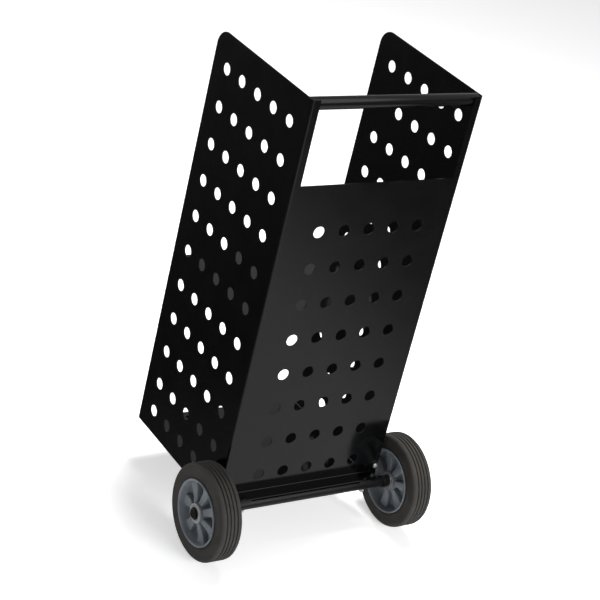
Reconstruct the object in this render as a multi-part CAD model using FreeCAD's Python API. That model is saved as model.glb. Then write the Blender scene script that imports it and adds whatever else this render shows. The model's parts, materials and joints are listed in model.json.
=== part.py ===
"""Rolling log cart: a perforated sheet-steel carrier with a shelf, on two rubber-tyred wheels.

Frame: +Z up, +Y towards the handle, +X towards the left wheel of a person at the handle.
The origin is on the ground, under the middle of the cart's outline. All lengths are in mm.
"""
import FreeCAD, Part
import math
import os
from FreeCAD import Vector

# Wheels and axle
WHEEL_R = 100.0
TYRE_W = 48.0
TYRE_SEAT_R = 66.0
RIM_R = 69.0
RIM_W = 53.0
WHEEL_X = 233.5            # middle plane of each wheel, from the cart's centre plane
SPOKES = 7
BOSS_R = 21.0
BOSS_IN = 20.0             # reach of the boss towards the body
BOSS_OUT = 25.0            # reach of the boss away from it
RIM_LIP = 4.0
RIM_LIP_THIN = 2.5         # depth of the lip's flat end
RIM_BEVEL = 3.0
RIM_INNER_R = 60.0
WEB_T = 6.0
SPOKE_ROOT_W = 13.0
SPOKE_TIP_W = 25.0
SPOKE_SINK = 3.0           # spokes stand this much below the boss and the rim
SPOKE_DIP = 4.0            # and this much lower again half-way
SPOKE_TURN = {"left": -4.3, "right": 26.6}
TYRE_SHOULDER = 7.0
TYRE_STEP = 1.0            # tyre's edge stands this much over the rim's lip
TYRE_BULGE_R = 77.0        # where the side wall leaves the rim
TYRE_BULGE_SINK = 0.4
GROOVES = 4
GROOVE_PITCH = 8.0
GROOVE_W = 3.0
GROOVE_D = 3.0
AXLE_R = 10.0
AXLE_HALF = 266.0
RUNNING_GAP = 0.05         # radial clearance of the bearing bores on the axle
SIDE_GAP = 0.4             # gap between a turning face and a standing one
BEARING_R = 18.5
BEARING_W = 9.0
RACE_T = 2.0               # thickness of each bearing race
SHIELD_SINK = 0.6          # bearing's shield stands back this much
BORE_CLEAR = 2.0           # hub's bore between its bearings, wider than the axle by this
SPACER_R = 12.5
WASHER_R = 20.0
RING_X = 261.0             # retaining ring's groove
RING_T = 1.2
RING_BORE_R = 9.2
RING_R = 12.5
RING_MOUTH = 4.0           # opening of the retaining ring
AXLE_CHAMFER = 1.0

# Sheet body
SHEET = 2.0
BEND_R = 4.0               # outer radius of every bend
BODY_W = 392.0
BODY_D = 342.0
BODY_H = 896.0
AXLE_UP = 16.5             # axle above the body's lower edge
AXLE_BACK = 22.0           # axle behind the body's back face
FLANGE_W = 17.5            # return of each side panel along the back
CORNER_R = 34.0            # rounded upper front corner of each side panel
HOLE_R = 12.2
HOLE_EDGE = 0.5            # broken edge of every round hole
SIDE_COLUMNS = 5
SIDE_ROWS = 11
SIDE_PITCH_Y = 58.3
SIDE_PITCH_Z = 79.2
SIDE_FIRST_Y = 56.3        # first column, in front of the back face
SIDE_TOP_Z = 830.1         # top row, above the body's lower edge
LAST_ROW_RISE = 12.3       # the lowest row stands this much higher than the pitch gives
SIDE_SHIFT_Y = {"left": -1.5, "right": 3.0}     # the two sides are not perforated quite alike
SIDE_SHIFT_Z = {"left": -1.0, "right": 2.5}
BACK_COLUMNS = 5
BACK_ROWS = 8
BACK_PITCH_X = 58.0
BACK_PITCH_Z = 78.9
BACK_TOP_Z = 623.0
BACK_SHIFT_X = -5.3
WINDOW_SILL = 722.8        # top edge of the back panel, above the body's lower edge
LEDGE_TOP = 32.4           # bent-out ledge at the foot of the back panel
LEDGE_DEPTH = 27.0
SHELF_TOP = 395.0
SHELF_LIP = 20.0
SHELF_INSET = 2.0          # shelf's front edge stands this far behind the side panels'
SHELF_BACK_GAP = 10.0      # shelf stops this far short of the back panel
TRAY_TOP = 2.0
TRAY_LIP = 22.0
TRAY_INSET = 7.0
HEM_W = 10.0

# Handle, foot and fixings
HANDLE_R = 12.5
HANDLE_WALL = 2.0
FOOT_HALF = 105.0
FOOT_W = 30.0
FOOT_T = 4.0
FOOT_SETBACK = 32.0        # middle of the foot, behind the front edges
FOOT_BEND_R = 8.0
FOOT_TAB = 25.0
FOOT_SCREW_R = 2.5
FOOT_SCREW_DY = 8.0
PAD_R = 15.0
PAD_TOP_R = 13.0
PAD_H = 8.0
PAD_X = 80.0
PAD_SCREW_R = 2.0
PAD_SCREW_L = 6.0
AXLE_SCREW_R = 3.0
AXLE_SCREW_X = 149.0
SADDLE_L = 30.0
SADDLE_W = 12.0
RIVET_X = 188.5            # one rivet in each return, through a corner plate
RIVET_Z = 44.0
RIVET_R = 2.4
RIVET_HEAD_R = 5.5
RIVET_HEAD_H = 4.0
RIVET_TAIL_R = 3.0
RIVET_TAIL_H = 1.2
CORNER_PLATE_W = 40.0
CORNER_PLATE_H = 36.0
CORNER_PLATE_GAP = 0.5     # from the round of the back bend
M6_HEAD_R = 5.25           # button heads and lock nuts of the three screw sizes
M6_HEAD_H = 3.3
M6_NUT_FLATS = 10.0
M6_NUT_H = 6.0
M5_HEAD_R = 4.75
M5_HEAD_H = 2.75
M5_NUT_FLATS = 8.0
M5_NUT_H = 5.0
M4_HEAD_R = 3.8
M4_HEAD_H = 2.2
SCREW_REST = 1.0           # screw's end past its nut
OVER = 1.0                 # cutters reach this far past what they cut

# Derived places
BODY_Z = WHEEL_R - AXLE_UP
DEPTH = BODY_D + AXLE_BACK + WHEEL_R
FRONT_Y = -DEPTH / 2
BACK_Y = FRONT_Y + BODY_D
AXLE_Y = BACK_Y + AXLE_BACK
AXLE_Z = WHEEL_R
TOP_Z = BODY_Z + BODY_H
HALF_W = BODY_W / 2
INNER_X = HALF_W - SHEET
LEDGE_Z = BODY_Z + LEDGE_TOP
SIDES = {"left": 1, "right": -1}


def save(name, shape):
    """Write one node as its own STEP file."""
    shape.exportStep(os.path.join("parts", name + ".step"))


def save_group(name, solids):
    """Write several equal pieces as one node."""
    save(name, Part.Compound(solids))


def box(x0, x1, y0, y1, z0, z1):
    return Part.makeBox(x1 - x0, y1 - y0, z1 - z0, Vector(x0, y0, z0))


def rod_x(radius, x0, x1, y=AXLE_Y, z=AXLE_Z):
    return Part.makeCylinder(radius, x1 - x0, Vector(x0, y, z), Vector(1, 0, 0))


def rod_z(radius, z0, z1, x, y):
    return Part.makeCylinder(radius, z1 - z0, Vector(x, y, z0), Vector(0, 0, 1))


def rounded_path(points, radius):
    """A wire through the points whose corners are tangent arcs."""
    edges = []
    start = points[0]
    for before, corner, after in zip(points, points[1:], points[2:]):
        into = (corner - before).normalize()
        out = (after - corner).normalize()
        turn = into.getAngle(out)
        cut = radius * math.tan(turn / 2)
        first = corner - into * cut
        last = corner + out * cut
        inward = (out - into).normalize()
        middle = corner + inward * (radius / math.cos(turn / 2) - radius)
        edges.append(Part.makeLine(start, first))
        edges.append(Part.Arc(first, middle, last).toShape())
        start = last
    edges.append(Part.makeLine(start, points[-1]))
    return Part.Wire(edges)


def bent_sheet(outer, inner, outer_radius, inner_radius, length):
    """A sheet bent along straight lines: its section lies between two rounded paths."""
    wire_out = rounded_path(outer, outer_radius)
    wire_in = rounded_path(inner, inner_radius)
    ends = [Part.makeLine(outer[0], inner[0]), Part.makeLine(outer[-1], inner[-1])]
    section = Part.Face(Part.Wire(Part.__sortEdges__(wire_out.Edges + wire_in.Edges + ends)))
    return section.extrude(length)


def channel(front, back, face_z, edge_z):
    """A sheet across the body, from front to back, whose two sides are bent from face_z to edge_z.

    The face stays on the outside of the bends.
    """
    x = INNER_X
    inside = SHEET if edge_z > face_z else -SHEET
    outer = [(-x, edge_z), (-x, face_z), (x, face_z), (x, edge_z)]
    inner = [(-x + SHEET, edge_z), (-x + SHEET, face_z + inside),
             (x - SHEET, face_z + inside), (x - SHEET, edge_z)]
    paths = [[Vector(u, front, z) for u, z in points] for points in (outer, inner)]
    return bent_sheet(paths[0], paths[1], BEND_R, BEND_R - SHEET, Vector(0, back - front, 0))


def hole_tool(origin, direction):
    """Cutter for one round hole through a sheet, with both edges broken."""
    rim = HOLE_R + HOLE_EDGE + OVER
    outline = [
        Vector(0, 0, -OVER),
        Vector(rim, 0, -OVER),
        Vector(HOLE_R, 0, HOLE_EDGE),
        Vector(HOLE_R, 0, SHEET - HOLE_EDGE),
        Vector(rim, 0, SHEET + OVER),
        Vector(0, 0, SHEET + OVER),
    ]
    tool = Part.Face(Part.makePolygon(outline + outline[:1])).revolve(Vector(), Vector(0, 0, 1), 360)
    tool.Placement = FreeCAD.Placement(origin, FreeCAD.Rotation(Vector(0, 0, 1), direction))
    return tool


def side_panel(name, side):
    """Flat side with a bend and a narrow return along the back, perforated all over."""
    x = side * HALF_W
    xi = side * INNER_X
    flange_x = side * (HALF_W - FLANGE_W)
    outer = [Vector(x, FRONT_Y, BODY_Z), Vector(x, BACK_Y, BODY_Z), Vector(flange_x, BACK_Y, BODY_Z)]
    back_in = BACK_Y - SHEET
    inner = [Vector(xi, FRONT_Y, BODY_Z), Vector(xi, back_in, BODY_Z), Vector(flange_x, back_in, BODY_Z)]
    panel = bent_sheet(outer, inner, BEND_R, BEND_R - SHEET, Vector(0, 0, BODY_H))
    corner = box(x - SHEET * 2, x + SHEET * 2, FRONT_Y - OVER, FRONT_Y + CORNER_R,
                 TOP_Z - CORNER_R, TOP_Z + OVER)
    round_off = rod_x(CORNER_R, x - SHEET * 3, x + SHEET * 3, FRONT_Y + CORNER_R, TOP_Z - CORNER_R)
    tools = [corner.cut(round_off)]
    start_x = INNER_X if side > 0 else -HALF_W
    for column in range(SIDE_COLUMNS):
        y = BACK_Y - SIDE_FIRST_Y - column * SIDE_PITCH_Y + SIDE_SHIFT_Y[name]
        for row in range(SIDE_ROWS):
            z = BODY_Z + SIDE_TOP_Z - row * SIDE_PITCH_Z + SIDE_SHIFT_Z[name]
            if row == SIDE_ROWS - 1:
                z += LAST_ROW_RISE
            tools.append(hole_tool(Vector(start_x, y, z), Vector(1, 0, 0)))
    tools.append(rivet_hole(side))
    return panel.cut(tools)


def back_panel():
    """Perforated back between the two returns, bent out at its foot into the axle ledge."""
    half = HALF_W - FLANGE_W
    sill = BODY_Z + WINDOW_SILL
    tail = BACK_Y + LEDGE_DEPTH
    under = LEDGE_Z - SHEET
    front = BACK_Y - SHEET
    outer = [Vector(-half, front, sill), Vector(-half, front, under), Vector(-half, tail, under)]
    inner = [Vector(-half, BACK_Y, sill), Vector(-half, BACK_Y, LEDGE_Z), Vector(-half, tail, LEDGE_Z)]
    panel = bent_sheet(outer, inner, BEND_R, BEND_R - SHEET, Vector(2 * half, 0, 0))
    tools = []
    for column in range(BACK_COLUMNS):
        x = BACK_SHIFT_X + (column - (BACK_COLUMNS - 1) / 2) * BACK_PITCH_X
        for row in range(BACK_ROWS):
            z = BODY_Z + BACK_TOP_Z - row * BACK_PITCH_Z
            tools.append(hole_tool(Vector(x, front, z), Vector(0, 1, 0)))
    for side in SIDES.values():
        tools.append(rod_z(AXLE_SCREW_R, under - OVER, LEDGE_Z + OVER, side * AXLE_SCREW_X, AXLE_Y))
    return panel.cut(tools)


def clear_of_bends(shape):
    """The shape without what would stand in the round of the two back bends."""
    inner_r = BEND_R - SHEET
    tools = []
    for side in SIDES.values():
        x0, x1 = sorted((side * (INNER_X - inner_r), side * INNER_X))
        corner = box(x0, x1, BACK_Y - SHEET - inner_r, BACK_Y - SHEET, BODY_Z, TOP_Z)
        tools.append(corner.cut(rod_z(inner_r, BODY_Z, TOP_Z, side * (INNER_X - inner_r), BACK_Y - BEND_R)))
    return shape.cut(tools)


def shelf():
    """Middle shelf, with its sides bent down and its front edge folded under into a hem."""
    top = BODY_Z + SHELF_TOP
    under = top - SHEET
    front = FRONT_Y + SHELF_INSET
    plate = channel(front, BACK_Y - SHEET - SHELF_BACK_GAP, top, top - SHELF_LIP)
    hem_x = INNER_X - BEND_R
    hem = box(-hem_x, hem_x, front, front + HEM_W, under - SHEET, under)
    return plate.fuse(hem).removeSplitter()


def floor_tray():
    """Bottom sheet with upturned sides and back, level with the body's lower edge."""
    top = BODY_Z + TRAY_TOP
    high = top + TRAY_LIP
    low = top - SHEET
    front = FRONT_Y + TRAY_INSET
    back = BACK_Y - SHEET
    pan = channel(front, back, low, high)
    lip_x = INNER_X - BEND_R
    back_lip = box(-lip_x, lip_x, back - SHEET, back, top, high)
    tray = pan.fuse(back_lip).removeSplitter()
    tools = [rod_z(FOOT_SCREW_R, low - OVER, top + OVER, x, y) for x, y in foot_screw_places()]
    return clear_of_bends(tray.cut(tools))


def handle_tube():
    """Round grip across the top, behind the two returns and level with the upper edge."""
    y = BACK_Y - SHEET - HANDLE_R
    z = TOP_Z - HANDLE_R
    outside = rod_x(HANDLE_R, -INNER_X, INNER_X, y, z)
    bore = rod_x(HANDLE_R - HANDLE_WALL, -INNER_X - OVER, INNER_X + OVER, y, z)
    return clear_of_bends(outside.cut(bore))


def axle():
    """Round bar right across the cart, drilled for its two screws and grooved for its rings."""
    bar = rod_x(AXLE_R, -AXLE_HALF, AXLE_HALF)
    bar = bar.makeChamfer(AXLE_CHAMFER, [edge for edge in bar.Edges if edge.BoundBox.XLength < OVER])
    tools = []
    for side in SIDES.values():
        tools.append(rod_z(AXLE_SCREW_R, 0, 2 * AXLE_Z, side * AXLE_SCREW_X, AXLE_Y))
        x0, x1 = sorted((side * RING_X, side * (RING_X + RING_T)))
        tools.append(rod_x(AXLE_R + OVER, x0, x1).cut(rod_x(RING_BORE_R, x0, x1)))
    return bar.cut(tools)


def axle_saddle(side):
    """Block between the ledge and the axle, hollowed to the axle's round."""
    x = side * AXLE_SCREW_X
    block = box(x - SADDLE_L / 2, x + SADDLE_L / 2, AXLE_Y - SADDLE_W / 2, AXLE_Y + SADDLE_W / 2,
                AXLE_Z + SADDLE_W / 2, LEDGE_Z - SHEET)
    bore = rod_x(AXLE_R, x - SADDLE_L, x + SADDLE_L)
    return block.cut([bore, rod_z(AXLE_SCREW_R, AXLE_Z, TOP_Z, x, AXLE_Y)])


def domed_head(head_r, head_h):
    """Cap of a sphere standing on z = 0."""
    sphere_r = (head_r ** 2 + head_h ** 2) / (2 * head_h)
    dome = Part.makeSphere(sphere_r, Vector(0, 0, head_h - sphere_r))
    return dome.common(rod_z(head_r, 0, head_h, 0, 0))


def button_screw(shank_r, head_r, head_h, length):
    """Screw standing on z = 0 with its round head above, a hexagon socket in it, shank below."""
    head = domed_head(head_r, head_h)
    floor = head_h * 0.4
    socket = hexagon(shank_r * 1.1, head_h - floor).translated(Vector(0, 0, floor))
    return head.cut(socket).fuse(rod_z(shank_r, -length, 0, 0, 0)).removeSplitter()


def hexagon(across_flats, height):
    """Hexagonal prism standing on z = 0."""
    corner_r = across_flats / math.sqrt(3)
    corners = [Vector(corner_r * math.cos(k * math.pi / 3), corner_r * math.sin(k * math.pi / 3), 0)
               for k in range(7)]
    return Part.Face(Part.makePolygon(corners)).extrude(Vector(0, 0, height))


def lock_nut(shank_r, across_flats, height):
    """Hexagon nut with a round collar, hanging below z = 0."""
    hexagon_h = height * 0.7
    nut = hexagon(across_flats, hexagon_h).translated(Vector(0, 0, -hexagon_h))
    collar = rod_z(across_flats * 0.44, -height, -hexagon_h, 0, 0)
    return nut.fuse(collar).cut(rod_z(shank_r, -height - OVER, OVER, 0, 0)).removeSplitter()


def placed(shape, x, y, z, direction=Vector(0, 0, 1)):
    """A copy of the shape whose own +Z looks along the direction."""
    copy = shape.copy()
    copy.Placement = FreeCAD.Placement(Vector(x, y, z), FreeCAD.Rotation(Vector(0, 0, 1), direction))
    return copy


def foot_screw_places():
    """Four places, two over each leg of the foot."""
    y = FRONT_Y + FOOT_SETBACK
    x = FOOT_HALF - FOOT_TAB / 2 - FOOT_T
    return [(side * x, y + dy) for side in SIDES.values() for dy in (-FOOT_SCREW_DY, FOOT_SCREW_DY)]


def front_foot():
    """Flat bar bent to a U, with two tabs under the tray."""
    y = FRONT_Y + FOOT_SETBACK - FOOT_W / 2
    top = BODY_Z + TRAY_TOP - SHEET
    low = PAD_H
    tab_x = FOOT_HALF - FOOT_TAB - FOOT_T
    path = []
    for inset in (0, FOOT_T):
        x = FOOT_HALF - inset
        path.append([Vector(-tab_x, y, top - inset), Vector(-x, y, top - inset), Vector(-x, y, low + inset),
                     Vector(x, y, low + inset), Vector(x, y, top - inset), Vector(tab_x, y, top - inset)])
    bar = bent_sheet(path[0], path[1], FOOT_BEND_R, FOOT_BEND_R - FOOT_T, Vector(0, FOOT_W, 0))
    tools = [rod_z(FOOT_SCREW_R, top - FOOT_T - OVER, top + OVER, x, y0) for x, y0 in foot_screw_places()]
    tools += [rod_z(PAD_SCREW_R, low - OVER, low + FOOT_T + OVER, side * PAD_X, y + FOOT_W / 2)
              for side in SIDES.values()]
    return bar.cut(tools)


def foot_pad(side):
    """Round rubber pad under the foot, held by a screw from above."""
    x = side * PAD_X
    y = FRONT_Y + FOOT_SETBACK
    pad = Part.makeCone(PAD_R, PAD_TOP_R, PAD_H, Vector(x, y, 0), Vector(0, 0, 1))
    return pad.cut(rod_z(PAD_SCREW_R, PAD_H - PAD_SCREW_L, PAD_H + OVER, x, y))


def corner_plate(side):
    """Flat plate behind the seam between a return and the back panel, at its lower end."""
    edge = HALF_W - BEND_R - CORNER_PLATE_GAP
    x0, x1 = sorted((side * edge, side * (edge - CORNER_PLATE_W)))
    low = BODY_Z + RIVET_Z - CORNER_PLATE_H / 2
    plate = box(x0, x1, BACK_Y - 2 * SHEET, BACK_Y - SHEET, low, low + CORNER_PLATE_H)
    return plate.cut(rivet_hole(side))


def rivet_hole(side):
    """Cutter for the rivet's hole through the return and its corner plate."""
    start = Vector(side * RIVET_X, BACK_Y - 3 * SHEET, BODY_Z + RIVET_Z)
    return Part.makeCylinder(RIVET_R, 4 * SHEET, start, Vector(0, 1, 0))


def corner_rivet():
    """Dome-headed rivet standing on z = 0, its shank and formed tail below."""
    head = domed_head(RIVET_HEAD_R, RIVET_HEAD_H)
    shank = rod_z(RIVET_R, -2 * SHEET, 0, 0, 0)
    tail = rod_z(RIVET_TAIL_R, -2 * SHEET - RIVET_TAIL_H, -2 * SHEET, 0, 0)
    return head.fuse([shank, tail]).removeSplitter()


def turned(outline, x=0.0, y=AXLE_Y, z=AXLE_Z):
    """Solid of revolution about the axle: outline is a list of (along the axle, radius)."""
    points = [Vector(u + x, y, z + r) for u, r in outline]
    return Part.Face(Part.makePolygon(points + points[:1])).revolve(Vector(0, y, z), Vector(1, 0, 0), 360)


def tyre(side):
    """Solid rubber tyre with rounded shoulders and grooves round its tread."""
    half = TYRE_W / 2
    seat = RIM_W / 2 - RIM_LIP
    edge_r = RIM_R + TYRE_STEP
    wall = WHEEL_R - TYRE_SHOULDER
    slope = TYRE_SHOULDER * (1 - math.sqrt(0.5))
    x = side * WHEEL_X

    def at(u, r):
        return Vector(x + u, AXLE_Y, AXLE_Z + r)

    def arc(*stations):
        return Part.Arc(*[at(u, r) for u, r in stations]).toShape()

    edges = [
        Part.makeLine(at(-seat, TYRE_SEAT_R), at(seat, TYRE_SEAT_R)),
        Part.makeLine(at(TYRE_SHOULDER - half, WHEEL_R), at(half - TYRE_SHOULDER, WHEEL_R)),
    ]
    for sign in (-1, 1):
        edges += [
            Part.makeLine(at(sign * seat, TYRE_SEAT_R), at(sign * seat, edge_r)),
            arc((sign * seat, edge_r), (sign * (half - TYRE_BULGE_SINK), TYRE_BULGE_R), (sign * half, wall)),
            arc((sign * half, wall), (sign * (half - slope), WHEEL_R - slope),
                (sign * (half - TYRE_SHOULDER), WHEEL_R)),
        ]
    section = Part.Face(Part.Wire(Part.__sortEdges__(edges)))
    body = section.revolve(Vector(0, AXLE_Y, AXLE_Z), Vector(1, 0, 0), 360)
    grooves = []
    for k in range(GROOVES):
        u = (k - (GROOVES - 1) / 2) * GROOVE_PITCH
        wide = GROOVE_W / 2
        narrow = GROOVE_W / 4
        grooves.append(turned([(u - wide, WHEEL_R + OVER), (u + wide, WHEEL_R + OVER),
                               (u + narrow, WHEEL_R - GROOVE_D), (u - narrow, WHEEL_R - GROOVE_D)], x))
    return body.cut(grooves)


def hub(side, turn):
    """Moulded wheel centre: boss, closed web, rim with raised lips, and spokes on both faces."""
    x = side * WHEEL_X
    rim = RIM_W / 2
    lip = rim - RIM_LIP
    lip_r = RIM_R - RIM_LIP_THIN
    half = [
        (lip, TYRE_SEAT_R), (lip, RIM_R), (rim, RIM_R), (rim, lip_r), (rim - RIM_BEVEL, lip_r - RIM_LIP_THIN),
        (WEB_T, RIM_INNER_R), (WEB_T / 2, RIM_INNER_R - RIM_BEVEL), (WEB_T / 2, BOSS_R),
    ]
    drum = turned(half + [(-u, r) for u, r in reversed(half)], x)
    boss_in, boss_out = sorted((x - side * BOSS_IN, x + side * BOSS_OUT))
    boss = rod_x(BOSS_R, boss_in, boss_out)
    spokes = []
    for k in range(SPOKES):
        spoke = spoke_blank(x, side)
        spoke.rotate(Vector(x, AXLE_Y, AXLE_Z), Vector(1, 0, 0), turn + k * 360.0 / SPOKES)
        spokes.append(spoke)
    solid = drum.fuse([boss] + spokes).removeSplitter()
    inner_pocket = sorted((x - side * BOSS_IN, x - side * (BOSS_IN - BEARING_W)))
    outer_pocket = sorted((x + side * BOSS_OUT, x + side * (BOSS_OUT - BEARING_W)))
    bores = [rod_x(BEARING_R, *inner_pocket), rod_x(BEARING_R, *outer_pocket)]
    bores.append(rod_x(AXLE_R + BORE_CLEAR, boss_in, boss_out))
    return solid.cut(bores)


def spoke_blank(x, side):
    """One upright spoke: wide and high at the rim, narrower at the boss, on both faces of the web."""
    root = BOSS_R - OVER
    tip = RIM_INNER_R + OVER
    narrow, wide = SPOKE_ROOT_W / 2, SPOKE_TIP_W / 2
    plan = [Vector(0, -narrow, root), Vector(0, narrow, root), Vector(0, wide, tip), Vector(0, -wide, tip)]
    plan = [point + Vector(x - RIM_W, AXLE_Y, AXLE_Z) for point in plan]
    prism = Part.Face(Part.makePolygon(plan + plan[:1])).extrude(Vector(2 * RIM_W, 0, 0))
    tall = RIM_W / 2 - SPOKE_SINK
    reach_in = BOSS_IN - SPOKE_SINK
    reach_out = BOSS_OUT - SPOKE_SINK
    middle = (root + tip) / 2
    outline = [(-reach_in, 0), (-reach_in, root), (-reach_in - SPOKE_DIP / 4, middle), (-tall, RIM_R),
               (tall, RIM_R), (tall - SPOKE_DIP, middle), (reach_out, root), (reach_out, 0)]
    envelope = turned([(side * u, r) for u, r in outline], x)
    return prism.common(envelope)


def bearing(x0, x1):
    """Sealed ball bearing as one ring, with its shield set back between the races."""
    low, high = sorted((x0, x1))
    bore = AXLE_R + RUNNING_GAP
    race = bore + RACE_T
    outer_race = BEARING_R - RACE_T
    front, back = low + SHIELD_SINK, high - SHIELD_SINK
    return turned([
        (low, bore), (low, race), (front, race), (front, outer_race), (low, outer_race), (low, BEARING_R),
        (high, BEARING_R), (high, outer_race), (back, outer_race), (back, race), (high, race), (high, bore),
    ])


def ring(bore_r, outer_r, x0, x1):
    """Plain ring on the axle between two stations."""
    low, high = sorted((x0, x1))
    return rod_x(outer_r, low, high).cut(rod_x(bore_r, low, high))


def retaining_ring(side):
    """Open spring ring in the axle's groove."""
    closed = ring(RING_BORE_R, RING_R, side * RING_X, side * (RING_X + RING_T))
    mouth = RING_MOUTH / 2
    gap = box(-AXLE_HALF, AXLE_HALF, AXLE_Y - mouth, AXLE_Y + mouth, AXLE_Z - 2 * AXLE_R, AXLE_Z)
    return closed.cut(gap)


def write_wheel(name, side):
    """Tyre, hub and bearings turn together; spacer, washer and ring stay on the axle."""
    inner_face = side * (WHEEL_X - BOSS_IN)
    outer_face = side * (WHEEL_X + BOSS_OUT)
    save(name + "_tyre", tyre(side))
    save(name + "_hub", hub(side, SPOKE_TURN[name]))
    save(name + "_inner_bearing", bearing(inner_face, inner_face + side * BEARING_W))
    save(name + "_outer_bearing", bearing(outer_face, outer_face - side * BEARING_W))
    save(name + "_spacer", ring(AXLE_R, SPACER_R, side * (HALF_W + SIDE_GAP), inner_face - side * SIDE_GAP))
    save(name + "_washer", ring(AXLE_R, WASHER_R, outer_face + side * SIDE_GAP, side * RING_X))
    save(name + "_retaining_ring", retaining_ring(side))


os.makedirs("parts", exist_ok=True)
save("back_panel", back_panel())
save("shelf", shelf())
save("floor_tray", floor_tray())
save("handle_tube", handle_tube())
save("axle", axle())
save("front_foot", front_foot())
for name, side in SIDES.items():
    save(name + "_side_panel", side_panel(name, side))
    save(name + "_axle_saddle", axle_saddle(side))
    save(name + "_corner_plate", corner_plate(side))
    save(name + "_foot_pad", foot_pad(side))
    write_wheel(name, side)

under_axle = AXLE_Z - AXLE_R
tray_top = BODY_Z + TRAY_TOP
tab_low = tray_top - SHEET - FOOT_T
axle_screw = button_screw(AXLE_SCREW_R, M6_HEAD_R, M6_HEAD_H, LEDGE_Z - under_axle + M6_NUT_H + SCREW_REST)
axle_nut = lock_nut(AXLE_SCREW_R, M6_NUT_FLATS, M6_NUT_H)
foot_screw = button_screw(FOOT_SCREW_R, M5_HEAD_R, M5_HEAD_H, tray_top - tab_low + M5_NUT_H + SCREW_REST)
foot_nut = lock_nut(FOOT_SCREW_R, M5_NUT_FLATS, M5_NUT_H)
pad_screw = button_screw(PAD_SCREW_R, M4_HEAD_R, M4_HEAD_H, FOOT_T + PAD_SCREW_L)
foot_y = FRONT_Y + FOOT_SETBACK
both = list(SIDES.values())
save_group("axle_screws", [placed(axle_screw, side * AXLE_SCREW_X, AXLE_Y, LEDGE_Z) for side in both])
save_group("axle_nuts", [placed(axle_nut, side * AXLE_SCREW_X, AXLE_Y, under_axle) for side in both])
save_group("foot_screws", [placed(foot_screw, x, y, tray_top) for x, y in foot_screw_places()])
save_group("foot_nuts", [placed(foot_nut, x, y, tab_low) for x, y in foot_screw_places()])
save_group("pad_screws", [placed(pad_screw, side * PAD_X, foot_y, PAD_H + FOOT_T) for side in both])
rivets = [placed(corner_rivet(), side * RIVET_X, BACK_Y, BODY_Z + RIVET_Z, Vector(0, 1, 0)) for side in both]
save_group("corner_rivets", rivets)
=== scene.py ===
"""Looks of the log cart: smooth tubes, moulded wheels, finishes, floor, light and camera.

Everything is in metres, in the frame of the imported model: +Z up, +Y towards the handle,
+X towards the left wheel of a person at the handle, and the origin on the ground.
"""

import json
import math

import bpy
from mathutils import Euler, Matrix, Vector


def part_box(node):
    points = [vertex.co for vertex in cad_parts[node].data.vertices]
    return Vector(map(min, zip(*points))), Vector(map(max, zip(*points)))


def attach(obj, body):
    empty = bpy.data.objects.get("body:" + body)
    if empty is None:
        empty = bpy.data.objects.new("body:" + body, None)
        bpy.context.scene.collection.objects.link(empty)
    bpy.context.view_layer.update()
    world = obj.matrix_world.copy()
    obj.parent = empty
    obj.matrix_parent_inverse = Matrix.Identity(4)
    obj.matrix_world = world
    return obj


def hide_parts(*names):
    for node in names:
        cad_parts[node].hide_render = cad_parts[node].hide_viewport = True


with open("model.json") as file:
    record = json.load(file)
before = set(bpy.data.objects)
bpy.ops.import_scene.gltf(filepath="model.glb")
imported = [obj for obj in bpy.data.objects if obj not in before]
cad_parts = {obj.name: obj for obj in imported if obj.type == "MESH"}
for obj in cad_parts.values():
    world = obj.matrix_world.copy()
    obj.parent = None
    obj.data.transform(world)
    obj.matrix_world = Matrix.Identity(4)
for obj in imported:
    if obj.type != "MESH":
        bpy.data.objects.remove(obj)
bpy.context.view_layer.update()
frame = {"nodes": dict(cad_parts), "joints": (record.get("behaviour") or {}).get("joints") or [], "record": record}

MM = 0.001
SIDES = {"left": 1, "right": -1}
WHEEL_X, AXLE_Y, AXLE_Z = frame["joints"][0]["pos_m"]
AXLE = Vector((0, AXLE_Y, AXLE_Z))

MIDDLE_OF_NOISE = (0.3, 0.7)    # nearly all values of a noise lie between these
CAD_MERGE = 0.01 * MM           # points of a CAD part this close are one point
TURNED_MERGE = 0.02 * MM        # and of a turned piece, where the spin closes on itself
SHEET_ANGLE = 32                # degrees; a sharper edge than this stays sharp in bent and machined parts


def linear(colour):
    """Linear RGBA of an sRGB hex colour such as #1a2b3c."""
    parts = [int(colour[i:i + 2], 16) / 255 for i in (1, 3, 5)]
    return [c / 12.92 if c <= 0.04045 else ((c + 0.055) / 1.055) ** 2.4 for c in parts] + [1.0]


def node(tree, kind, inputs=None, **settings):
    """Add a shader node. Settings are its own; inputs are values or other nodes' sockets."""
    made = tree.nodes.new(kind)
    for name, value in settings.items():
        setattr(made, name, value)
    for name, value in (inputs or {}).items():
        if isinstance(value, bpy.types.NodeSocket):
            tree.links.new(value, made.inputs[name])
        else:
            made.inputs[name].default_value = value
    return made


# ---------------------------------------------------------------- finishes

def new_material(name):
    """An empty material with its tree and a surface output."""
    material = bpy.data.materials.new(name)
    material.use_nodes = True
    material.node_tree.nodes.clear()
    return material, material.node_tree


def noise(tree, place, grain_mm, detail=2.0, roughness=0.5):
    """Noise whose blotches are about grain_mm across."""
    inputs = {"Vector": place, "Scale": 1 / (grain_mm * MM), "Detail": detail, "Roughness": roughness}
    return node(tree, "ShaderNodeTexNoise", inputs).outputs["Fac"]


def blend(tree, factor, low, high):
    """A colour between two sRGB hex colours, by the middle of a factor's range."""
    ramp = node(tree, "ShaderNodeValToRGB", {"Fac": factor})
    for stop, where, colour in zip(ramp.color_ramp.elements, MIDDLE_OF_NOISE, (low, high)):
        stop.position = where
        stop.color = linear(colour)
    return ramp.outputs["Color"]


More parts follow.
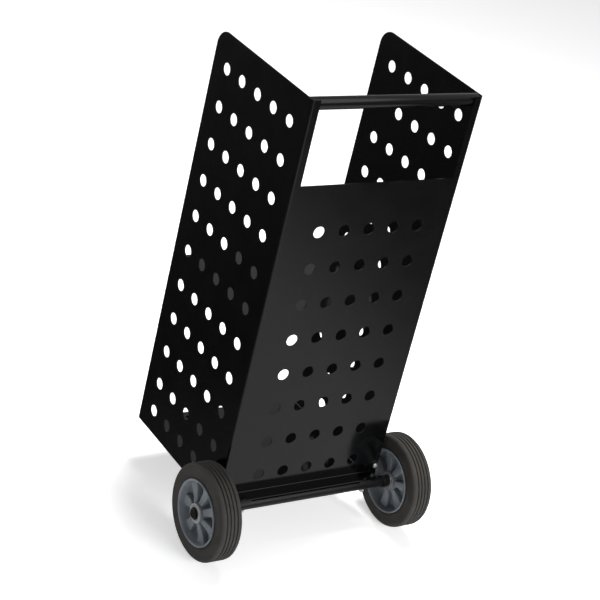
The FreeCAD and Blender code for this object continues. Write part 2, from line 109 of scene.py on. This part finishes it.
def spread(tree, factor, low, high):
    """A number between low and high, by the middle of a factor's range."""
    start, end = MIDDLE_OF_NOISE
    inputs = {"Value": factor, "From Min": start, "From Max": end, "To Min": low, "To Max": high}
    return node(tree, "ShaderNodeMapRange", inputs).outputs["Result"]


def rings(tree, place, scale, distortion, detail):
    """Rings about the axle, 314 / scale millimetres apart."""
    centred = node(tree, "ShaderNodeMapping", {"Vector": place, "Location": -AXLE})
    inputs = {"Vector": centred.outputs["Vector"], "Scale": scale, "Distortion": distortion, "Detail": detail}
    wave = node(tree, "ShaderNodeTexWave", inputs, wave_type="RINGS", rings_direction="X")
    return wave.outputs["Fac"]


def bump(tree, height, depth_mm, below=None):
    """Normal of a surface raised by height times depth_mm, over another bump if there is one."""
    inputs = {"Height": height, "Distance": depth_mm * MM, "Strength": 1.0}
    if below:
        inputs["Normal"] = below
    return node(tree, "ShaderNodeBump", inputs).outputs["Normal"]


def finish(tree, inputs):
    """Close a material with its surface shader."""
    shader = node(tree, "ShaderNodeBsdfPrincipled", inputs)
    node(tree, "ShaderNodeOutputMaterial", {"Surface": shader.outputs["BSDF"]})


def place_on(tree):
    """Place on the piece, in metres."""
    return node(tree, "ShaderNodeTexCoord").outputs["Object"]


def powder_coat():
    """Black polyester powder coat on steel sheet, baked.

    It flows out to a glossy skin with a faint orange peel about 3 mm across and a fine grit, drawn
    0.7 mm across so that it shows; the gloss drifts a little from place to place.
    """
    material, tree = new_material("black_powder_coat")
    place = place_on(tree)
    drift = noise(tree, place, grain_mm=60)
    peel = noise(tree, place, grain_mm=3.2, detail=1.0)
    grit = noise(tree, place, grain_mm=0.7, roughness=0.6)
    waves = bump(tree, peel, depth_mm=0.010)
    finish(tree, {
        "Base Color": blend(tree, drift, "#030303", "#050505"),
        "Roughness": spread(tree, drift, 0.11, 0.16),
        "IOR": 1.50,
        "Normal": bump(tree, grit, depth_mm=0.003, below=waves),
    })
    return material


def axle_paint():
    """Black enamel on the turned axle, duller than the sheet, with fine turning marks under it.

    The marks are drawn twenty times as long round the bar as they are along it.
    """
    material, tree = new_material("black_axle_steel")
    place = place_on(tree)
    along = node(tree, "ShaderNodeMapping", {"Vector": place, "Scale": (1.0, 0.05, 0.05)})
    marks = noise(tree, along.outputs["Vector"], grain_mm=1.2, detail=3.0, roughness=0.6)
    drift = noise(tree, place, grain_mm=25)
    finish(tree, {
        "Base Color": blend(tree, drift, "#090909", "#0e0e0f"),
        "Roughness": spread(tree, drift, 0.30, 0.42),
        "IOR": 1.52,
        "Normal": bump(tree, marks, depth_mm=0.008),
    })
    return material


def black_oxide():
    """Black oxide on screws and spring rings: thin, oily, grey-black, a little uneven."""
    material, tree = new_material("black_screw_steel")
    place = place_on(tree)
    mottle = noise(tree, place, grain_mm=2.0, detail=3.0)
    grain = noise(tree, place, grain_mm=0.6)
    finish(tree, {
        "Base Color": blend(tree, mottle, "#1a1a1b", "#2b2b2d"),
        "Metallic": 1.0,
        "Roughness": spread(tree, mottle, 0.28, 0.42),
        "Normal": bump(tree, grain, depth_mm=0.006),
    })
    return material


def zinc_plate():
    """Bright zinc plate: pale grey metal with a crystalline mottle, drawn 1.5 mm across so that it shows."""
    material, tree = new_material("bright_zinc")
    place = place_on(tree)
    crystals = node(tree, "ShaderNodeTexVoronoi", {"Vector": place, "Scale": 1 / (1.5 * MM)})
    mottle = noise(tree, place, grain_mm=4.0, detail=3.0)
    finish(tree, {
        "Base Color": blend(tree, crystals.outputs["Distance"], "#d2d4d5", "#eaebea"),
        "Metallic": 0.8,
        "Roughness": spread(tree, mottle, 0.38, 0.48),
        "Normal": bump(tree, mottle, depth_mm=0.010),
    })
    return material


def bearing_steel():
    """Ground chrome steel races: bright, with rings left by grinding, drawn 1 mm apart so that they show."""
    material, tree = new_material("bearing_steel")
    place = place_on(tree)
    ground = rings(tree, place, scale=300.0, distortion=1.0, detail=2.0)
    mottle = noise(tree, place, grain_mm=3.0)
    finish(tree, {
        "Base Color": blend(tree, mottle, "#c4c5c6", "#dededd"),
        "Metallic": 0.85,
        "Roughness": spread(tree, mottle, 0.34, 0.44),
        "Normal": bump(tree, ground, depth_mm=0.004),
    })
    return material


def tyre_rubber():
    """Moulded black rubber: matt, warm grey with bloom, finely pitted, with mould rings 3 mm apart."""
    material, tree = new_material("tyre_rubber")
    place = place_on(tree)
    bloom = noise(tree, place, grain_mm=18, detail=4.0, roughness=0.6)
    pits = noise(tree, place, grain_mm=0.9, detail=3.0, roughness=0.6)
    mould = bump(tree, rings(tree, place, scale=110.0, distortion=0.4, detail=1.0), depth_mm=0.05)
    finish(tree, {
        "Base Color": blend(tree, bloom, "#2f2d2b", "#3b3835"),
        "Roughness": spread(tree, bloom, 0.62, 0.78),
        "IOR": 1.50,
        "Normal": bump(tree, pits, depth_mm=0.03, below=mould),
    })
    return material


def hub_plastic():
    """Blue-grey polypropylene, injection moulded: satin, finely spark-eroded, with soft flow marks."""
    material, tree = new_material("grey_hub_plastic")
    place = place_on(tree)
    flow = noise(tree, place, grain_mm=30, detail=3.0, roughness=0.55)
    texture = noise(tree, place, grain_mm=0.8)
    finish(tree, {
        "Base Color": blend(tree, flow, "#6c7177", "#7c8288"),
        "Roughness": spread(tree, flow, 0.28, 0.38),
        "IOR": 1.49,
        "Normal": bump(tree, texture, depth_mm=0.012),
    })
    return material


def pad_rubber():
    """Black rubber of the foot pads: dull and dusty near the floor."""
    material, tree = new_material("pad_rubber")
    place = place_on(tree)
    dust = noise(tree, place, grain_mm=6.0, detail=4.0, roughness=0.6)
    pits = noise(tree, place, grain_mm=0.8)
    finish(tree, {
        "Base Color": blend(tree, dust, "#1b1b1b", "#2a2927"),
        "Roughness": spread(tree, dust, 0.70, 0.85),
        "Normal": bump(tree, pits, depth_mm=0.03),
    })
    return material


FINISHES = {
    "black_powder_coat": powder_coat(),
    "black_axle_steel": axle_paint(),
    "black_screw_steel": black_oxide(),
    "bright_zinc": zinc_plate(),
    "bearing_steel": bearing_steel(),
    "tyre_rubber": tyre_rubber(),
    "grey_hub_plastic": hub_plastic(),
    "pad_rubber": pad_rubber(),
}
SLOT_OF = {part["node"]: part["material_slot"] for part in frame["record"]["subparts"]}
BODIES = frame["record"]["behaviour"]["bodies"]
BODY_OF = {name: body for body, names in BODIES.items() for name in names}


def paint(piece, slot_name):
    """Give a piece one finish all over."""
    piece.data.materials.clear()
    piece.data.materials.append(FINISHES[slot_name])


def take_over(piece, node_name):
    """Let a piece take the place, body and finish of a CAD part."""
    paint(piece, SLOT_OF[node_name])
    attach(piece, BODY_OF[node_name])
    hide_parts(node_name)


def only(piece):
    """Make a piece the one selected and active object."""
    bpy.ops.object.select_all(action="DESELECT")
    piece.select_set(True)
    bpy.context.view_layer.objects.active = piece


# ---------------------------------------------------------------- bent and machined metal parts

def smoothed(node_name):
    """A copy of a bent or machined part whose round faces shade smooth, in place of the part."""
    source = frame["nodes"][node_name]
    piece = bpy.data.objects.new(node_name + "_smooth", source.data.copy())
    bpy.context.scene.collection.objects.link(piece)
    only(piece)
    bpy.ops.object.mode_set(mode="EDIT")
    bpy.ops.mesh.select_all(action="SELECT")
    bpy.ops.mesh.remove_doubles(threshold=CAD_MERGE)
    bpy.ops.object.mode_set(mode="OBJECT")
    bpy.ops.mesh.customdata_custom_splitnormals_clear()
    bpy.ops.object.shade_smooth_by_angle(angle=math.radians(SHEET_ANGLE))
    weigh = piece.modifiers.new("even_flats", "WEIGHTED_NORMAL")
    weigh.weight = 100
    weigh.keep_sharp = True
    bpy.ops.object.modifier_apply(modifier=weigh.name)
    take_over(piece, node_name)


# ---------------------------------------------------------------- turned and moulded pieces

# Sizes here are in millimetres. A point of an outline is (distance from the middle along X, radius), and
# in AXLE_END and RACE_FACE it is (depth below the end or the face, radius).
CORNER_SHARE = 0.45     # most of an edge that a rounded corner takes up, from either end

TYRE_R = 100.0
TYRE_WALL = ((22.5, 66.0), (22.5, 70.5), (23.7, 72.5), (24.1, 78.0), (23.6, 79.0),
             (23.9, 86.0), (23.9, 93.0), (22.9, 96.8), (20.2, 99.3), (16.8, TYRE_R))
TREAD_GROOVES = (-12.0, -4.0, 4.0, 12.0)
GROOVE_HALF = 1.5
GROOVE_FLOOR_HALF = GROOVE_HALF * 0.6
GROOVE_DEPTH = 3.0
TYRE_CORNER = 1.0

RIM = ((22.5, 66.0), (22.5, 69.0), (26.5, 69.0), (26.5, 66.6), (24.5, 64.6), (6.0, 60.5), (2.8, 57.5))
OUTER_BOSS = ((2.8, 24.0), (5.0, 22.4), (24.2, 21.0), (25.0, 20.2), (25.0, 18.5), (16.0, 18.5), (16.0, 12.0))
INNER_BOSS = ((-11.0, 12.0), (-11.0, 18.5), (-20.0, 18.5), (-20.0, 20.2), (-19.2, 21.0), (-5.0, 22.2),
              (-2.8, 24.0))
HUB_CORNER = 1.4
SPOKES = 7
SPOKE_STATIONS = (      # radius, half width, reach of the outer and the inner face from the middle
    (17.0, 5.6, 21.0, 16.5),
    (24.0, 6.6, 20.5, 16.0),
    (32.0, 7.8, 17.5, 14.5),
    (42.0, 9.2, 15.0, 13.5),
    (52.0, 10.9, 14.0, 13.5),
    (60.0, 12.3, 14.5, 14.0),
    (65.0, 13.2, 15.5, 15.0),
)
SPOKE_EDGE = 2.2
SPOKE_TURN = {"left": -4.3, "right": 26.6}      # degrees from upright to each wheel's first spoke

RACE_FACE = ((0.5, 18.5), (0.0, 18.0), (0.0, 16.4), (0.6, 16.2), (0.9, 13.2), (0.6, 12.2), (0.0, 12.0),
             (0.0, 10.5), (0.4, 10.05))
RACE_CORNER = 0.25

AXLE_R = 10.0
AXLE_END = ((3.0, 0.0), (0.8, 1.6), (0.0, 2.6), (0.0, 9.0), (1.0, AXLE_R))
RING_GROOVE = ((262.2, AXLE_R), (262.2, 9.2), (261.0, 9.2), (261.0, AXLE_R))
AXLE_CORNER = 0.2
SPACER_R = 12.5
WASHER_R = 20.0

TUBE_WALL = 2.0
TUBE_CORNER = 0.4


def spun(name, centre, outline, steps, solid=False):
    """A piece turned about an axis along X through centre.

    The outline is a closed loop, or with solid it starts and ends on the axis.
    """
    points = [centre + Vector((u * MM, 0, r * MM)) for u, r in outline]
    bpy.ops.object.select_all(action="DESELECT")
    bpy.ops.mesh.primitive_plane_add(size=MM, location=points[0])
    piece = bpy.context.object
    piece.name = name
    piece.data.transform(piece.matrix_world)
    piece.location = (0, 0, 0)
    bpy.ops.object.mode_set(mode="EDIT")
    bpy.ops.mesh.select_mode(type="VERT")
    bpy.ops.mesh.select_all(action="SELECT")
    bpy.ops.mesh.merge(type="CENTER")
    for start, end in zip(points, points[1:]):
        bpy.ops.mesh.extrude_region_move(TRANSFORM_OT_translate={"value": end - start})
    if not solid:
        bpy.ops.mesh.extrude_region_move(TRANSFORM_OT_translate={"value": points[0] - points[-1]})
    bpy.ops.mesh.select_all(action="SELECT")
    bpy.ops.mesh.spin(steps=steps, angle=2 * math.pi, center=centre, axis=(1, 0, 0))
    bpy.ops.mesh.select_all(action="SELECT")
    bpy.ops.mesh.remove_doubles(threshold=TURNED_MERGE)
    bpy.ops.mesh.normals_make_consistent(inside=False)
    bpy.ops.object.mode_set(mode="OBJECT")
    return piece


def rounded(outline, radius, parts=3, closed=True):
    """The outline with an arc at each corner, starting up to radius millimetres from the corner."""
    corners = [Vector(point) for point in outline]
    made = []
    for k, corner in enumerate(corners):
        if not closed and k in (0, len(corners) - 1):
            made.append(tuple(corner))
            continue
        before, after = corners[k - 1], corners[(k + 1) % len(corners)]
        reach = min(radius, (before - corner).length * CORNER_SHARE, (after - corner).length * CORNER_SHARE)
        first = corner + (before - corner).normalized() * reach
        last = corner + (after - corner).normalized() * reach
        for j in range(parts + 1):
            t = j / parts
            made.append(tuple(first * (1 - t) ** 2 + corner * 2 * t * (1 - t) + last * t ** 2))
    return made


def other_side(outline):
    """The same outline beyond the middle, taken backwards."""
    return [(-u, r) for u, r in reversed(outline)]


def stand_in(piece, node_name, angle=35):
    """Shade a piece smooth up to an angle in degrees, and let it take over from a CAD part."""
    only(piece)
    bpy.ops.object.shade_smooth_by_angle(angle=math.radians(angle))
    take_over(piece, node_name)


def extent(node_name):
    """Middle of a part's box in metres, and half its length along X in millimetres."""
    low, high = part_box(node_name)
    return (low + high) / 2, (high.x - low.x) / 2 / MM


def tyre(name):
    """Solid rubber tyre: ribbed tread, rounded shoulders, and two shallow mould steps on each wall."""
    centre = extent(name + "_tyre")[0]
    groove_floor = TYRE_R - GROOVE_DEPTH
    tread = []
    for middle in reversed(TREAD_GROOVES):
        tread += [(middle + GROOVE_HALF, TYRE_R), (middle + GROOVE_FLOOR_HALF, groove_floor),
                  (middle - GROOVE_FLOOR_HALF, groove_floor), (middle - GROOVE_HALF, TYRE_R)]
    outline = [*TYRE_WALL, *tread, *other_side(TYRE_WALL)]
    piece = spun(name + "_tyre_rubber", centre, rounded(outline, TYRE_CORNER), steps=180)
    stand_in(piece, name + "_tyre", angle=50)


def spoke(centre, side):
    """One upright spoke, drawn out along its length from the boss to the rim."""
    root, half, out, inside = SPOKE_STATIONS[0]
    bpy.ops.object.select_all(action="DESELECT")
    bpy.ops.mesh.primitive_plane_add(size=1.0, location=(0, 0, 0))
    piece = bpy.context.object
    bpy.ops.object.mode_set(mode="EDIT")
    bpy.ops.mesh.select_all(action="SELECT")
    bpy.ops.transform.resize(value=((out + inside) * MM, 2 * half * MM, 1))
    middle = centre + Vector((side * (out - inside) / 2 * MM, 0, root * MM))
    bpy.ops.transform.translate(value=middle)
    for radius, new_half, new_out, new_inside in SPOKE_STATIONS[1:]:
        bpy.ops.mesh.extrude_region_move(TRANSFORM_OT_translate={"value": (0, 0, 0)})
        new_middle = centre + Vector((side * (new_out - new_inside) / 2 * MM, 0, radius * MM))
        bpy.ops.transform.translate(value=new_middle - middle)
        ratio = ((new_out + new_inside) / (out + inside), new_half / half, 1)
        bpy.ops.transform.resize(value=ratio, center_override=new_middle)
        middle, half, out, inside = new_middle, new_half, new_out, new_inside
    bpy.ops.mesh.select_all(action="SELECT")
    bpy.ops.mesh.normals_make_consistent(inside=False)
    bpy.ops.object.mode_set(mode="OBJECT")
    edge = piece.modifiers.new("rounded_edges", "BEVEL")
    edge.width = SPOKE_EDGE * MM
    edge.segments = 3
    edge.limit_method = "ANGLE"
    edge.angle_limit = math.radians(50)
    bpy.ops.object.modifier_apply(modifier=edge.name)
    return piece


def hub(name, side, turn):
    """Moulded wheel centre: rim, closed web and boss turned in one, with seven dished spokes.

    The first spoke leans from upright by turn, in degrees.
    """
    centre = Vector((side * WHEEL_X, AXLE.y, AXLE.z))
    outline = [(side * u, r) for u, r in (*RIM, *OUTER_BOSS, *INNER_BOSS, *other_side(RIM))]
    drum = spun(name + "_hub_moulding", centre, rounded(outline, HUB_CORNER), steps=140)
    blank = spoke(centre, side)
    spokes = [blank]
    for _ in range(SPOKES - 1):
        copy = bpy.data.objects.new("spoke", blank.data.copy())
        bpy.context.scene.collection.objects.link(copy)
        spokes.append(copy)
    for k, copy in enumerate(spokes):
        only(copy)
        bpy.ops.object.mode_set(mode="EDIT")
        bpy.ops.mesh.select_all(action="SELECT")
        bpy.ops.transform.rotate(value=-math.radians(turn + k * 360 / SPOKES), orient_axis="X",
                                 center_override=centre)
        bpy.ops.object.mode_set(mode="OBJECT")
    for copy in spokes:
        copy.select_set(True)
    drum.select_set(True)
    bpy.context.view_layer.objects.active = drum
    bpy.ops.object.join()
    stand_in(drum, name + "_hub", angle=40)


def bearing(node_name):
    """Sealed bearing: two ground races with a pressed shield set back between them."""
    centre, half = extent(node_name)
    face = [(half - depth, r) for depth, r in RACE_FACE]
    outline = face + other_side(face)
    piece = spun(node_name + "_races", centre, rounded(outline, RACE_CORNER, parts=2), steps=72)
    stand_in(piece, node_name)


def ring_piece(node_name, side, radius, edge, dome=0.0):
    """A turned ring on the axle, with broken edges, and its outer face crowned by dome millimetres."""
    centre, half = extent(node_name)
    middle = (AXLE_R + radius) / 2
    section = ((-half, AXLE_R), (-half, radius), (half - dome, radius), (half, middle), (half - dome, AXLE_R))
    outline = [(side * u, r) for u, r in section]
    piece = spun(node_name + "_turned", centre, rounded(outline, edge, parts=2), steps=72)
    stand_in(piece, node_name)


def axle_bar():
    """Turned bar with chamfered, centre-drilled ends and a groove for each retaining ring."""
    centre, half = extent("axle")
    end = [(half - depth, r) for depth, r in AXLE_END] + list(RING_GROOVE)
    outline = rounded(end + other_side(end), AXLE_CORNER, parts=2, closed=False)
    piece = spun("axle_bar", centre, outline, steps=64, solid=True)
    stand_in(piece, "axle")


def grip_tube():
    """Handle tube, with the edges of its cut ends broken."""
    centre, half = extent("handle_tube")
    low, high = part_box("handle_tube")
    radius = (high.z - low.z) / 2 / MM
    outline = [(half, radius - TUBE_WALL), (half, radius), (-half, radius), (-half, radius - TUBE_WALL)]
    piece = spun("handle_grip_tube", centre, rounded(outline, TUBE_CORNER, parts=2), steps=64)
    stand_in(piece, "handle_tube")


for name, cad in frame["nodes"].items():
    paint(cad, SLOT_OF[name])

for name, side in SIDES.items():
    tyre(name)
    hub(name, side, SPOKE_TURN[name])
    bearing(name + "_inner_bearing")
    bearing(name + "_outer_bearing")
    ring_piece(name + "_spacer", side, SPACER_R, edge=0.4)
    ring_piece(name + "_washer", side, WASHER_R, edge=0.5, dome=0.7)
axle_bar()
grip_tube()

ON_THE_AXLE = ("tyre", "hub", "inner_bearing", "outer_bearing", "spacer", "washer")
TURNED = {"axle", "handle_tube"} | {name + "_" + part for name in SIDES for part in ON_THE_AXLE}
for name in sorted(set(frame["nodes"]) - TURNED):
    smoothed(name)


# ---------------------------------------------------------------- floor, light and camera

FLOOR_R = 6.0
FLOOR_DROP = 0.5 * MM       # so that the floor and the undersides that stand on it don't share a plane
FLOOR_GLOW = 0.52           # strength of the floor's own light

# Brightness of the room in reflections, by direction: 1 is towards the named one and -1 is away from it.
BEHIND_AND_DOWN = (0.0, 0.6, -0.8)
LOW_ROOM = (
    (-1.0, 0.60), (-0.35, 0.30), (-0.21, 0.07), (-0.19, 0.06), (-0.14, 0.055), (-0.08, 0.035),
    (-0.03, 0.025), (0.03, 0.08), (0.28, 0.10), (0.42, 0.22), (0.58, 0.22), (0.69, 0.06), (0.725, 0.08),
    (0.745, 0.15), (0.76, 0.27), (0.775, 0.52), (0.79, 0.66), (0.82, 0.60), (1.0, 0.70),
)
BEHIND_AND_UP = (0.0, 0.59, 0.81)
HIGH_ROOM = ((-1.0, 0.30), (0.50, 0.36), (0.70, 0.36), (0.78, 0.60), (0.825, 1.30), (1.0, 1.30))
ROOMS_MEET = (0.15, 0.45)   # rise of a direction over which the low room gives way to the high one
ROOM_LIGHT = 0.22           # strength of the light that the room throws on dull surfaces
BACKDROP = 1.0              # strength of the white seen behind the cart

LENS_MM = 107.62
SENSOR_MM = 36.0
CAMERA_PLACE = (2.0132, 2.5119, 2.1113)
CAMERA_TURN = (62.4308, -12.4795, 148.1324)     # degrees


def studio_floor():
    """A large white acrylic sheet, lit a little from below, so its shadows stay pale.

    Reflections don't show it: there the low room takes its place.
    """
    bpy.ops.object.select_all(action="DESELECT")
    bpy.ops.mesh.primitive_circle_add(
        vertices=96, radius=FLOOR_R, fill_type="NGON", location=(0, 0, -FLOOR_DROP))
    floor = bpy.context.object
    floor.name = "floor"
    material, tree = new_material("white_acrylic")
    glow = node(tree, "ShaderNodeEmission", {"Color": linear("#ffffff"), "Strength": FLOOR_GLOW})
    matt = node(tree, "ShaderNodeBsdfDiffuse", {"Color": linear("#f2f2f2")})
    both = node(tree, "ShaderNodeAddShader", {0: glow.outputs[0], 1: matt.outputs[0]})
    node(tree, "ShaderNodeOutputMaterial", {"Surface": both.outputs[0]})
    floor.data.materials.append(material)
    floor.visible_glossy = False


def room(tree, direction, towards, stops):
    """Brightness by how far a direction turns towards the given one."""
    turn = node(tree, "ShaderNodeVectorMath", {0: direction, 1: towards}, operation="DOT_PRODUCT")
    inputs = {"Value": turn.outputs["Value"], "From Min": -1.0, "From Max": 1.0}
    along = node(tree, "ShaderNodeMapRange", inputs)
    ramp = node(tree, "ShaderNodeValToRGB", {"Fac": along.outputs["Result"]})
    for k, (where, value) in enumerate(stops):
        if k in (0, len(stops) - 1):
            stop = ramp.color_ramp.elements[0 if k == 0 else -1]
        else:
            stop = ramp.color_ramp.elements.new((where + 1) / 2)
        stop.color = (value, value, value, 1)
    return ramp.outputs["Color"]


def studio_world():
    """A white backdrop behind the cart, and a dimmer room for the light and the reflections.

    Reflections show the low room level and downwards, and the high room above.
    """
    world = bpy.data.worlds.new("studio")
    bpy.context.scene.world = world
    world.use_nodes = True
    tree = world.node_tree
    tree.nodes.clear()
    direction = node(tree, "ShaderNodeTexCoord").outputs["Generated"]
    height = node(tree, "ShaderNodeSeparateXYZ", {"Vector": direction}).outputs["Z"]
    start, end = ROOMS_MEET
    upward = node(tree, "ShaderNodeMapRange", {"Value": height, "From Min": start, "From Max": end})
    low = node(tree, "ShaderNodeBackground", {"Color": room(tree, direction, BEHIND_AND_DOWN, LOW_ROOM)})
    high = node(tree, "ShaderNodeBackground", {"Color": room(tree, direction, BEHIND_AND_UP, HIGH_ROOM)})
    rays = node(tree, "ShaderNodeLightPath")
    mirrored = node(tree, "ShaderNodeMixShader", {
        0: upward.outputs["Result"], 1: low.outputs[0], 2: high.outputs[0]})
    around = node(tree, "ShaderNodeBackground", {"Color": linear("#ffffff"), "Strength": ROOM_LIGHT})
    behind = node(tree, "ShaderNodeBackground", {"Color": linear("#ffffff"), "Strength": BACKDROP})
    lit = node(tree, "ShaderNodeMixShader", {
        0: rays.outputs["Is Glossy Ray"], 1: around.outputs[0], 2: mirrored.outputs[0]})
    seen = node(tree, "ShaderNodeMixShader", {
        0: rays.outputs["Is Camera Ray"], 1: lit.outputs[0], 2: behind.outputs[0]})
    node(tree, "ShaderNodeOutputWorld", {"Surface": seen.outputs[0]})


def softbox(name, place, aim, width, height, watts, mirrored=False):
    """A rectangular soft light at a place, facing the aim; reflections show it only if mirrored."""
    light = bpy.data.lights.new(name, "AREA")
    light.shape = "RECTANGLE"
    light.size = width
    light.size_y = height
    light.energy = watts
    lamp = bpy.data.objects.new(name, light)
    bpy.context.scene.collection.objects.link(lamp)
    lamp.location = place
    lamp.rotation_euler = (Vector(aim) - Vector(place)).to_track_quat("-Z", "Y").to_euler()
    lamp.visible_camera = False
    lamp.visible_glossy = mirrored


def camera():
    """The camera looks from above, behind the cart and on its left, and is rolled as if the cart leans."""
    data = bpy.data.cameras.new("camera")
    data.lens = LENS_MM
    data.sensor_width = SENSOR_MM
    eye = bpy.data.objects.new("camera", data)
    bpy.context.scene.collection.objects.link(eye)
    eye.location = CAMERA_PLACE
    eye.rotation_euler = Euler([math.radians(degrees) for degrees in CAMERA_TURN], "XYZ")
    bpy.context.scene.camera = eye


studio_floor()
studio_world()
softbox("overhead_softbox", (-0.6, -0.6, 2.9), aim=(0, 0, 0.4), width=1.3, height=1.0, watts=120)
softbox("back_softbox", (-0.6, 2.8, 1.2), aim=(0, 0, 0.3), width=1.2, height=1.2, watts=70)
softbox("side_softbox", (1.7, -1.9, 0.9), aim=(0.2, 0.1, 0.2), width=1.2, height=0.6, watts=6, mirrored=True)
camera()
bpy.context.scene.view_settings.view_transform = "Standard"
